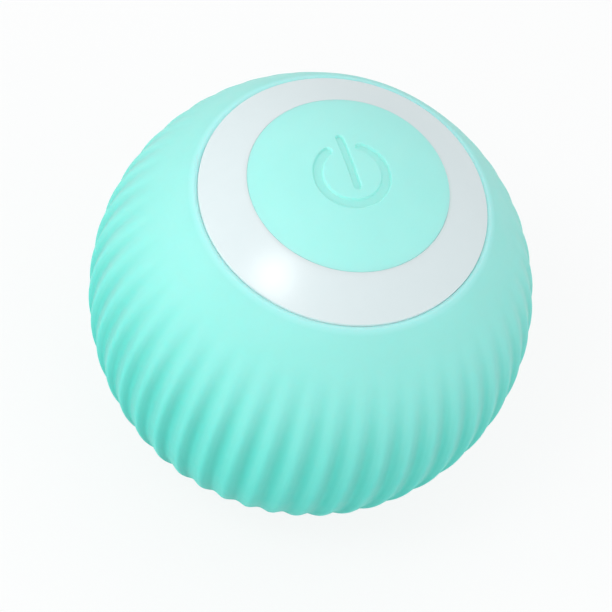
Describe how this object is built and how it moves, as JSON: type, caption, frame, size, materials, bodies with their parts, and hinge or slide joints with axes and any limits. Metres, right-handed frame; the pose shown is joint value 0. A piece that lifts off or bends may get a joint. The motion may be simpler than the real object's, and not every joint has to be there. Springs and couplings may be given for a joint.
{
  "type": "self rolling cat ball",
  "caption": "Ball toy that rolls by itself: fluted silicone sleeve on a hard shell, which a weighted motor carriage inside turns; push button in a light ring, charging inlet at the flat end.",
  "frame": {"origin": "centre of the flat sole ring that the ball stands on", "axes": "+Z along the rolling axis, from the charging end up to the button; -Y towards the carriage's counterweight at rest"},
  "size_m": [0.0428, 0.0428, 0.0413],
  "materials": {
    "sleeve_silicone": "soft matte silicone, mint",
    "button_mint": "soft-touch matte, mint",
    "ring_milky": "milky translucent plastic, satin",
    "shell_white": "moulded ABS, fine grain",
    "acetal_natural": "natural acetal, moulded",
    "acetal_grey": "grey acetal, moulded",
    "frame_grey": "dark grey ABS, fine grain",
    "steel": "plated steel",
    "brass": "turned brass",
    "board_green": "solder mask over glass board",
    "chip_black": "black moulding",
    "motor_black": "black nylon",
    "lamp_white": "moulded lamp body with a yellowish lens",
    "pouch_silver": "foil pouch",
    "tape_blue": "foam tape"
  },
  "bodies": {
    "rolling_shell": {"silicone_sleeve": "sleeve_silicone", "upper_shell": "shell_white", "lower_shell": "shell_white", "light_ring": "ring_milky", "ring_gear": "acetal_natural", "upper_bushing": "acetal_grey", "lower_bushing": "acetal_grey"},
    "button": {"button_cap": "button_mint"},
    "drive_carriage": {"upper_hub": "frame_grey", "light_board": "board_green", "control_chip": "chip_black", "motion_sensor": "brass", "switch_body": "chip_black", "motor_frame": "frame_grey", "lower_frame": "frame_grey", "idler_pin": "steel", "final_pin": "steel", "motor_can": "steel", "motor_end_cap": "motor_black", "counterweight": "steel", "battery": "pouch_silver", "battery_tape": "tape_blue", "charge_board": "board_green", "charge_chip": "chip_black", "usb_c_socket": "steel", "port_cap": "shell_white", "light_led_1": "lamp_white", "light_led_2": "lamp_white", "light_led_3": "lamp_white", "light_led_4": "lamp_white", "light_led_5": "lamp_white", "light_led_6": "lamp_white", "frame_screw_1": "steel", "board_screw_1": "steel", "hub_screw_1": "steel", "frame_screw_2": "steel", "board_screw_2": "steel", "hub_screw_2": "steel", "frame_screw_3": "steel", "board_screw_3": "steel", "hub_screw_3": "steel", "weight_screw_1": "steel", "battery_tab_1": "steel", "motor_terminal_1": "brass", "weight_screw_2": "steel", "battery_tab_2": "steel", "motor_terminal_2": "brass"},
    "switch_plunger": {"switch_plunger": "shell_white"},
    "motor_rotor": {"motor_shaft": "steel", "motor_pinion": "brass"},
    "idler_drive": {"idler_gear": "acetal_natural"},
    "final_drive": {"final_gear": "acetal_natural"}
  },
  "joints": [
    {"name": "carriage_spin", "type": "hinge", "parent": "rolling_shell", "child": "drive_carriage", "pos_m": [0, 0, 0.02], "axis": [0, 0, 1], "continuous": true},
    {"name": "button_press", "type": "slide", "parent": "rolling_shell", "child": "button", "axis": [0, 0, -1], "range_m": [0, 0.0003], "stiffness_N_per_m": 300, "springref_m": -0.001},
    {"name": "plunger_press", "type": "slide", "parent": "drive_carriage", "child": "switch_plunger", "axis": [0, 0, -1], "range_m": [0, 0.0003]},
    {"name": "final_spin", "type": "hinge", "parent": "drive_carriage", "child": "final_drive", "pos_m": [0.00929, 0.00244, 0.02], "axis": [0, 0, 1], "continuous": true},
    {"name": "idler_spin", "type": "hinge", "parent": "drive_carriage", "child": "idler_drive", "pos_m": [0.00558, -0.00437, 0.02], "axis": [0, 0, 1], "continuous": true},
    {"name": "rotor_spin", "type": "hinge", "parent": "drive_carriage", "child": "motor_rotor", "pos_m": [0, -0.0086, 0.02], "axis": [0, 0, 1], "continuous": true}
  ],
  "couplings": [
    {"joint": "plunger_press", "follows": "button_press", "ratio": 1},
    {"joint": "final_spin", "follows": "carriage_spin", "ratio": -4.2},
    {"joint": "idler_spin", "follows": "carriage_spin", "ratio": 10.267},
    {"joint": "rotor_spin", "follows": "carriage_spin", "ratio": -34.65}
  ]
}
